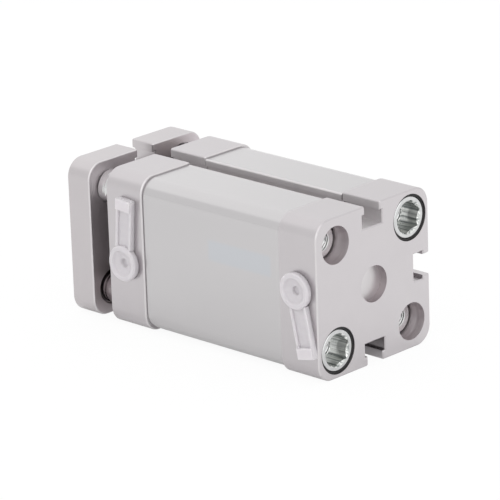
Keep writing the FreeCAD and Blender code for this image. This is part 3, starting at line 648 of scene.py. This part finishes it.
def threads(name, node, axis, centres, limit, finish, body):
    """Threads in a piece's core-size holes, as deep as those holes go or to a limit in mm."""
    spots = [vertex.co[axis] / MM for vertex in frame["nodes"][node].data.vertices
             if on_bore(vertex, axis, centres[0], CORE)]
    mouth = max(spots) if axis == 0 else min(spots)
    length = min(max(spots) - min(spots), limit)
    points = []
    for centre in centres:
        point = list(centre)
        point.insert(axis, mouth)
        points.append(Vector(point) * MM)
    base = bpy.data.meshes.new(name)
    base.from_pydata(points, [], [])
    piece = bpy.data.objects.new(name, base)
    bpy.context.scene.collection.objects.link(piece)
    mod = piece.modifiers.new("threads", "NODES")
    mod.node_group = THREAD
    sizes = {"Length": length * MM, "Pitch": PITCH * MM, "Core Radius": CORE * MM, "Root Radius": ROOT * MM,
             "Turn": (0.0, -math.pi / 2, 0.0) if axis == 0 else (-math.pi / 2, 0.0, 0.0), "Finish": finish}
    for item in THREAD.interface.items_tree:
        if item.in_out == "INPUT" and item.name in sizes:
            mod[item.identifier] = sizes[item.name]
    plain = bpy.data.meshes.new_from_object(piece.evaluated_get(bpy.context.evaluated_depsgraph_get()))
    piece.modifiers.clear()
    piece.data = plain
    plain.materials.clear()
    plain.materials.append(finish)
    shape = bmesh.new()
    shape.from_mesh(plain)
    bmesh.ops.recalc_face_normals(shape, faces=shape.faces)
    for face in shape.faces:
        face.material_index = 0
    shape.to_mesh(plain)
    shape.free()
    plain.shade_smooth()
    plain.set_sharp_from_angle(angle=math.radians(40))
    plain.name = name
    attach(piece, body)
    return piece


THROUGH = 20.0               # more than any of the corner holes is deep
PORT_DEPTH = 7.6
threads("rear_cap_screw_threads", "rear_cap_screws", 0, SCREW_HOLES, THROUGH, ZINC, "housing")
threads("rear_guide_screw_threads", "rear_guide_screws", 0, GUIDE_HOLES, THROUGH, ZINC, "housing")
threads("front_cap_screw_threads", "front_cap_screws", 0, SCREW_HOLES, THROUGH, ZINC, "housing")
threads("yoke_plate_threads", "yoke_plate", 0, SCREW_HOLES, THROUGH, PLATE, "rod_and_yoke")
threads("rear_port_thread", "rear_cap", 1, (PORTS["rear_port"],), PORT_DEPTH, CAPS, "housing")
threads("front_port_thread", "front_cap", 1, (PORTS["front_port"],), PORT_DEPTH, CAPS, "housing")


# ---- studio -----------------------------------------------------------------------------------------------------
def floor():
    """Plain white table under the cylinder. To the eye, and through the plugs, it is white with a trace of
    the contact shadow. Metal sees mostly its real, shaded surface."""
    to_eye, to_metal = 0.93, 0.25                # share of plain white in what each of them sees
    half_size = 6.0
    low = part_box("rear_cap")[0][2]
    shape = bmesh.new()
    bmesh.ops.create_grid(shape, x_segments=1, y_segments=1, size=half_size)
    mesh = bpy.data.meshes.new("floor")
    shape.to_mesh(mesh)
    shape.free()
    mesh.transform(Matrix.Translation((0, 0, low)))
    table = bpy.data.objects.new("floor", mesh)
    bpy.context.scene.collection.objects.link(table)
    material, tree = start_material("white_table")
    path = add(tree, "ShaderNodeLightPath")
    eye = add(tree, "ShaderNodeMath", {1: to_eye}, {0: path.outputs["Is Camera Ray"]}, operation="MULTIPLY")
    gloss = add(tree, "ShaderNodeMath", {1: to_metal}, {0: path.outputs["Is Glossy Ray"]},
                operation="MULTIPLY")
    glass = add(tree, "ShaderNodeMath", {1: to_eye}, {0: path.outputs["Is Transmission Ray"]},
                operation="MULTIPLY")
    most = add(tree, "ShaderNodeMath", links={0: eye.outputs[0], 1: gloss.outputs[0]}, operation="MAXIMUM")
    share = add(tree, "ShaderNodeMath", links={0: most.outputs[0], 1: glass.outputs[0]}, operation="MAXIMUM")
    paper = add(tree, "ShaderNodeBsdfDiffuse", {"Color": hexed("#f4f4f4")})
    white = add(tree, "ShaderNodeEmission", {"Color": (1, 1, 1, 1), "Strength": 1.0})
    both = add(tree, "ShaderNodeMixShader",
               links={0: share.outputs[0], 1: paper.outputs[0], 2: white.outputs[0]})
    add(tree, "ShaderNodeOutputMaterial", links={"Surface": both.outputs[0]})
    mesh.materials.append(material)


def world():
    """White studio, white to the eye all round. Metal sees a wall of level 1, a broad brighter window 33
    degrees up on the camera's side, and a panel over the top and the back. The panel starts 49 degrees up
    on the port side, and adds a little light high up and at the yoke's end."""
    panel_above = (0.0, 0.755, 0.656)            # square to the plane that the panel lies above
    to_window = (0.45, -0.7, 0.55)               # towards the middle of the window
    wall_level, window_level = 1.0, 1.28
    end_gain, high_gain = 0.18, 0.13             # what the panel adds at the yoke's end and high up
    sky = bpy.data.worlds.new("studio")
    bpy.context.scene.world = sky
    sky.use_nodes = True
    tree = sky.node_tree
    tree.nodes.clear()
    coords = add(tree, "ShaderNodeTexCoord")
    place = add(tree, "ShaderNodeVectorMath", {1: panel_above}, {0: coords.outputs["Generated"]},
                operation="DOT_PRODUCT")
    panel = add(tree, "ShaderNodeMapRange", {"From Min": -0.02, "From Max": 0.04, "To Min": 0.0,
                                             "To Max": 1.0},
                {"Value": place.outputs["Value"]}, interpolation_type="SMOOTHSTEP")
    along = add(tree, "ShaderNodeSeparateXYZ", links={0: coords.outputs["Generated"]})
    ends = add(tree, "ShaderNodeMapRange", {"From Min": -0.7, "From Max": -0.6, "To Min": end_gain,
                                            "To Max": 0.0},
               {"Value": along.outputs["X"]}, interpolation_type="SMOOTHSTEP")
    high = add(tree, "ShaderNodeMapRange", {"From Min": 0.34, "From Max": 0.52, "To Min": 0.0,
                                            "To Max": high_gain},
               {"Value": along.outputs["Z"]}, interpolation_type="SMOOTHSTEP")
    gain = add(tree, "ShaderNodeMath", links={0: ends.outputs[0], 1: high.outputs[0]})
    window_at = add(tree, "ShaderNodeVectorMath", {1: to_window}, {0: coords.outputs["Generated"]},
                    operation="DOT_PRODUCT")
    window = add(tree, "ShaderNodeMapRange", {"From Min": 0.5, "From Max": 0.8, "To Min": wall_level,
                                              "To Max": window_level},
                 {"Value": window_at.outputs["Value"]}, interpolation_type="SMOOTHSTEP")
    extra = add(tree, "ShaderNodeMath", links={0: panel.outputs[0], 1: gain.outputs[0], 2: window.outputs[0]},
                operation="MULTIPLY_ADD")
    path = add(tree, "ShaderNodeLightPath")
    level = add(tree, "ShaderNodeMix", {3: 1.0}, {"Factor": path.outputs["Is Camera Ray"],
                                                  2: extra.outputs[0]}, data_type="FLOAT")
    white = add(tree, "ShaderNodeBackground", {"Color": (1, 1, 1, 1)}, {"Strength": level.outputs[0]})
    add(tree, "ShaderNodeOutputWorld", links={"Surface": white.outputs[0]})


def softbox(name, place, aim, width, height, power):
    """A large rectangular soft light, in metres and watts."""
    data = bpy.data.lights.new(name, "AREA")
    data.shape = "RECTANGLE"
    data.size, data.size_y, data.energy = width, height, power
    lamp = bpy.data.objects.new(name, data)
    lamp.location = place
    lamp.rotation_euler = (Vector(aim) - Vector(place)).to_track_quat("-Z", "Y").to_euler()
    bpy.context.scene.collection.objects.link(lamp)


def camera():
    """Long lens, seen from the rear right and a little above."""
    eye = Vector((0.556778, -0.613536, 0.287614))
    right = Vector((0.723995, 0.689012, -0.033067))
    down = Vector((0.196960, -0.252426, -0.947358))
    ahead = Vector((-0.661088, 0.679370, -0.318463))
    data = bpy.data.cameras.new("camera")
    data.sensor_width = 36.0
    data.lens = 268.69
    data.clip_start, data.clip_end = 0.01, 50.0
    cam = bpy.data.objects.new("camera", data)
    turn = Matrix((right, -down, -ahead)).transposed().to_4x4()
    cam.matrix_world = Matrix.Translation(eye) @ turn
    bpy.context.scene.collection.objects.link(cam)
    bpy.context.scene.camera = cam


floor()
world()
softbox("front", (0.7, -0.75, 0.6), (0.0, 0.0, -0.02), 1.5, 1.5, 0.9)
camera()
bpy.context.scene.view_settings.view_transform = "Standard"
